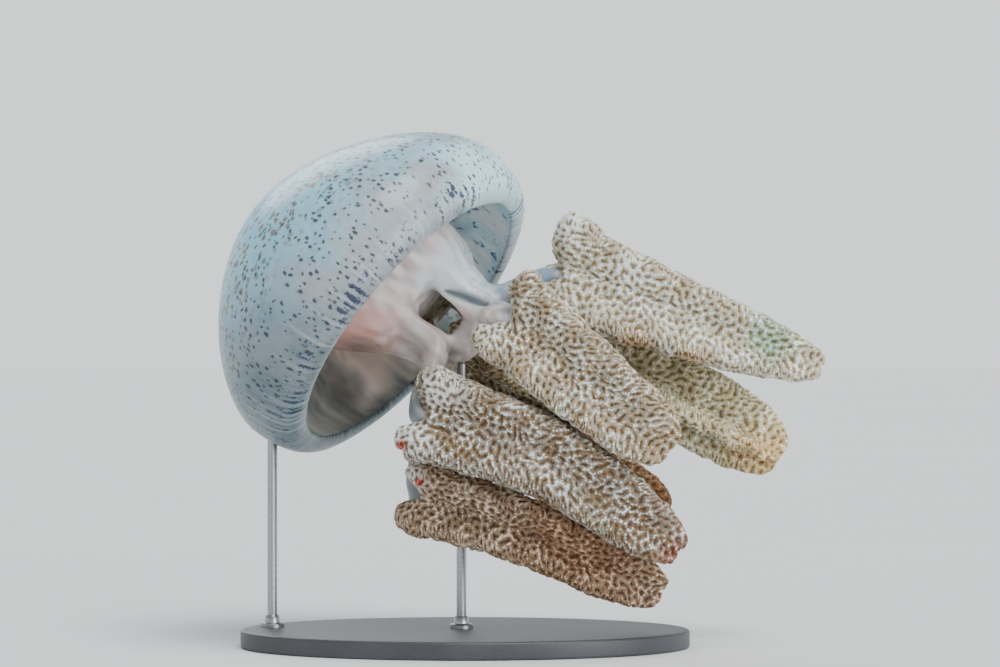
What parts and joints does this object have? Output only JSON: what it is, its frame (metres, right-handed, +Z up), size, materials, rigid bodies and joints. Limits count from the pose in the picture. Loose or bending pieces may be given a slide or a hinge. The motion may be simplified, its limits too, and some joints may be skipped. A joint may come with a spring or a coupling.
{
  "type": "blue blubber jellyfish model on stand",
  "caption": "Life-size swimming jellyfish with a domed, spotted bell and thick frilled mouth arms, held over an oval base by slim steel rods.",
  "frame": {"origin": "centre of the underside of the stand's base", "axes": "+Z up; the animal swims up towards -X and its arms trail towards +X; the near side of the picture faces -Y"},
  "size_m": [0.3019, 0.1818, 0.2587],
  "materials": {
    "bell_jelly": "moist, milky pale blue jelly with small brown and dark blue spots",
    "stalk_jelly": "smooth, clear to pinkish white jelly, blue where it is thin",
    "frill": "dense cream ridges over brown hollows",
    "stand_steel": "fine brushed",
    "stand_base_paint": "satin dark grey paint"
  },
  "bodies": {
    "root": {"arm_bottom_back_stem": "stalk_jelly", "arm_bottom_back_wing_1": "frill", "arm_bottom_back_wing_2": "frill", "arm_bottom_back_wing_3": "frill", "arm_bottom_front_stem": "stalk_jelly", "arm_bottom_front_wing_1": "frill", "arm_bottom_front_wing_2": "frill", "arm_bottom_front_wing_3": "frill", "arm_disc": "stalk_jelly", "arm_lower_back_stem": "stalk_jelly", "arm_lower_back_wing_1": "frill", "arm_lower_back_wing_2": "frill", "arm_lower_back_wing_3": "frill", "arm_lower_front_stem": "stalk_jelly", "arm_lower_front_wing_1": "frill", "arm_lower_front_wing_2": "frill", "arm_lower_front_wing_3": "frill", "arm_top_back_stem": "stalk_jelly", "arm_top_back_wing_1": "frill", "arm_top_back_wing_2": "frill", "arm_top_back_wing_3": "frill", "arm_top_front_stem": "stalk_jelly", "arm_top_front_wing_1": "frill", "arm_top_front_wing_2": "frill", "arm_top_front_wing_3": "frill", "arm_upper_back_stem": "stalk_jelly", "arm_upper_back_wing_1": "frill", "arm_upper_back_wing_2": "frill", "arm_upper_back_wing_3": "frill", "arm_upper_front_stem": "stalk_jelly", "arm_upper_front_wing_1": "frill", "arm_upper_front_wing_2": "frill", "arm_upper_front_wing_3": "frill", "bell": "bell_jelly", "bell_margin": "bell_jelly", "pillar_1": "stalk_jelly", "pillar_2": "stalk_jelly", "pillar_3": "stalk_jelly", "pillar_4": "stalk_jelly", "stand_base": "stand_base_paint", "stand_rod_bell": "stand_steel", "stand_rod_stalk": "stand_steel", "stomach": "stalk_jelly"}
  },
  "joints": []
}
